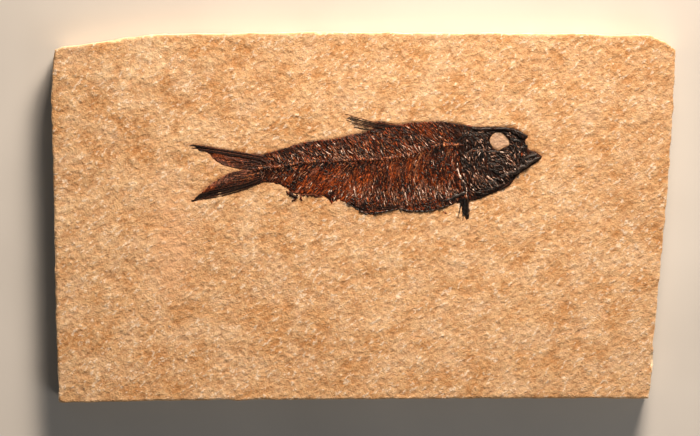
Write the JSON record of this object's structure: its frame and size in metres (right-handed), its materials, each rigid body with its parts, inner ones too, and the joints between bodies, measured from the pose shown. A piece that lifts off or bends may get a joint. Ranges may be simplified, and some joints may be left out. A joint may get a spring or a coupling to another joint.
{
  "type": "fossil fish slab",
  "caption": "Thin rectangular limestone slab lying on its flat back, with one complete dark brown herring-like fossil fish in its upper face.",
  "frame": {"origin": "middle of the bounding rectangle of the slab's back, on the plane it rests on", "axes": "+Z out of the face that holds the fish; +X the way the fish's head points, along the slab's length; +Y the way the fish's back points, across the slab"},
  "size_m": [0.19, 0.1138, 0.0103],
  "materials": {
    "limestone": "warm tan laminated limestone with a fine-grained, slightly rippled matt face and rough snapped edges",
    "fossil_bone": "dark umber fossil bone and skin film with red-brown patches and a low gloss"
  },
  "bodies": {
    "root": {"limestone_slab": "limestone", "fossil_fish": "fossil_bone"}
  },
  "joints": []
}
